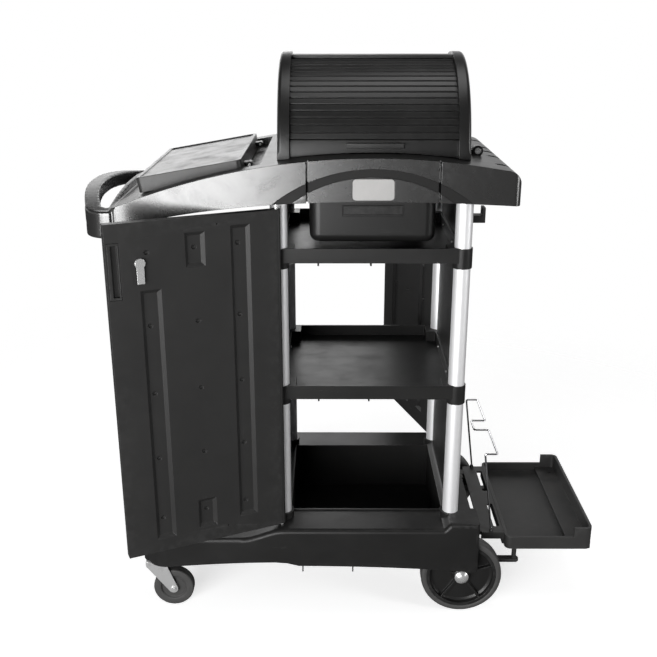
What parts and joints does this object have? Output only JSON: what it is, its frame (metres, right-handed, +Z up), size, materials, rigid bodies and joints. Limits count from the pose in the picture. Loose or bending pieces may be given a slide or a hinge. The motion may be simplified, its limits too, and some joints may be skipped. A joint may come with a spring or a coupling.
{
  "type": "housekeeping cart",
  "caption": "Housekeeping cart with locking doors, roll-top hood, waste lid, shelves, bin, push handle and a folding wire-framed platform.",
  "frame": {"origin": "on the floor, below the middle of the whole object's box with both doors standing open as at rest", "axes": "+X from the push handle to the folding platform, +Y from the front door to the rear door, +Z up"},
  "size_m": [1.247, 1.0175, 1.3577],
  "materials": {
    "post_aluminium": "satin anodised",
    "bright_zinc": "bright plated",
    "chrome_wire": "bright wire",
    "plated_steel": "zinc plated",
    "wheel_tyre": "non-marking grey-black tread",
    "caster_rubber": "moulded rubber",
    "wheel_plastic": "moulded",
    "door_plastic": "fine leather grain",
    "hood_plastic": "smooth moulded",
    "lid_plastic": "smooth moulded",
    "bin_plastic": "smooth moulded",
    "badge": "blank satin plate",
    "panel_plastic": "smooth moulded",
    "tray_plastic": "fine grain",
    "moulded_black": "structural foam, satin"
  },
  "bodies": {
    "cart": {"base_platform": "moulded_black", "post_front_left": "post_aluminium", "post_front_right": "post_aluminium", "post_rear_left": "post_aluminium", "post_rear_right": "post_aluminium", "middle_shelf": "moulded_black", "top_shelf": "moulded_black", "end_panel_left": "panel_plastic", "end_panel_right": "panel_plastic", "top_deck": "moulded_black", "fascia_front": "moulded_black", "fascia_rear": "moulded_black", "badge_plate": "badge", "storage_bin": "bin_plastic", "hood_end_left": "hood_plastic", "hood_end_right": "hood_plastic", "hood_rear_shell": "hood_plastic", "hood_lock_bracket": "hood_plastic", "lid_hinge_pins": "plated_steel", "door_front_pins": "plated_steel", "door_rear_pins": "plated_steel", "platform_pins": "plated_steel", "platform_stays": "tray_plastic", "wheel_axle": "plated_steel", "hub_caps": "bright_zinc", "caster_front_plate": "plated_steel", "caster_rear_plate": "plated_steel", "tool_hook": "tray_plastic", "panel_screws": "plated_steel"},
    "tambour": {"tambour_curtain": "hood_plastic", "tambour_bottom_bar": "hood_plastic", "tambour_handle": "hood_plastic"},
    "hood_lock_plug": {"hood_lock_plug": "bright_zinc"},
    "lid": {"waste_lid": "lid_plastic"},
    "front_door": {"door_front_panel": "door_plastic", "door_front_pull": "door_plastic", "door_front_lock_body": "bright_zinc"},
    "front_cam": {"door_front_cam": "bright_zinc"},
    "rear_door": {"door_rear_panel": "door_plastic", "door_rear_pull": "door_plastic", "door_rear_lock_body": "bright_zinc"},
    "rear_cam": {"door_rear_cam": "bright_zinc"},
    "platform": {"platform_tray": "tray_plastic"},
    "wire": {"wire_frame": "chrome_wire"},
    "front_wheel": {"wheel_front": "wheel_plastic", "tyre_front": "wheel_tyre"},
    "rear_wheel": {"wheel_rear": "wheel_plastic", "tyre_rear": "wheel_tyre"},
    "front_caster": {"caster_front_fork": "plated_steel", "caster_front_axle": "plated_steel"},
    "front_caster_wheel_body": {"caster_front_wheel": "caster_rubber"},
    "rear_caster": {"caster_rear_fork": "plated_steel", "caster_rear_axle": "plated_steel"},
    "rear_caster_wheel_body": {"caster_rear_wheel": "caster_rubber"}
  },
  "joints": [
    {"name": "front_door_hinge", "type": "hinge", "parent": "cart", "child": "front_door", "pos_m": [-0.1635, -0.34592, 0.64], "axis": [0, 0, 1], "range_deg": [-4, 156]},
    {"name": "rear_door_hinge", "type": "hinge", "parent": "cart", "child": "rear_door", "pos_m": [0.2605, 0.14608, 0.64], "axis": [0, 0, 1], "range_deg": [-84.5, 71.5]},
    {"name": "front_door_lock", "type": "hinge", "parent": "front_door", "child": "front_cam", "pos_m": [-0.4467, -0.47201, 0.949], "axis": [0.4067, -0.9135, 0], "range_deg": [-90, 0]},
    {"name": "rear_door_lock", "type": "hinge", "parent": "rear_door", "child": "rear_cam", "pos_m": [0.16214, 0.44006, 0.949], "axis": [-0.9483, -0.3173, 0], "range_deg": [-90, 0]},
    {"name": "hood_roll", "type": "hinge", "parent": "cart", "child": "tambour", "pos_m": [0.0485, -0.09992, 1.13772], "axis": [-1, 0, 0], "range_deg": [0, 66]},
    {"name": "hood_lock", "type": "hinge", "parent": "cart", "child": "hood_lock_plug", "pos_m": [0.2965, -0.19592, 1.14072], "axis": [0, 1, 0], "range_deg": [0, 90]},
    {"name": "waste_lid_hinge", "type": "hinge", "parent": "cart", "child": "lid", "pos_m": [-0.2245, -0.09992, 1.122], "axis": [0, 1, 0], "range_deg": [0, 105]},
    {"name": "platform_fold", "type": "hinge", "parent": "cart", "child": "platform", "pos_m": [0.3335, -0.09992, 0.17], "axis": [0, -1, 0], "range_deg": [0, 86]},
    {"name": "wire_swing", "type": "hinge", "parent": "platform", "child": "wire", "pos_m": [0.371, -0.09992, 0.184], "axis": [0, 1, 0], "range_deg": [0, 90]},
    {"name": "front_wheel_roll", "type": "hinge", "parent": "cart", "child": "front_wheel", "pos_m": [0.2865, -0.09992, 0.1015], "axis": [0, 1, 0], "continuous": true},
    {"name": "rear_wheel_roll", "type": "hinge", "parent": "cart", "child": "rear_wheel", "pos_m": [0.2865, -0.09992, 0.1015], "axis": [0, 1, 0], "continuous": true},
    {"name": "front_caster_swivel", "type": "hinge", "parent": "cart", "child": "front_caster", "pos_m": [-0.4885, -0.32192, 0.13], "axis": [0, 0, 1], "continuous": true},
    {"name": "front_caster_roll", "type": "hinge", "parent": "front_caster", "child": "front_caster_wheel_body", "pos_m": [-0.4445, -0.32192, 0.051], "axis": [0, 1, 0], "continuous": true},
    {"name": "rear_caster_swivel", "type": "hinge", "parent": "cart", "child": "rear_caster", "pos_m": [-0.4885, 0.12208, 0.13], "axis": [0, 0, 1], "continuous": true},
    {"name": "rear_caster_roll", "type": "hinge", "parent": "rear_caster", "child": "rear_caster_wheel_body", "pos_m": [-0.4445, 0.12208, 0.051], "axis": [0, 1, 0], "continuous": true}
  ],
  "couplings": [
    {"joint": "wire_swing", "follows": "platform_fold", "ratio": 1}
  ]
}
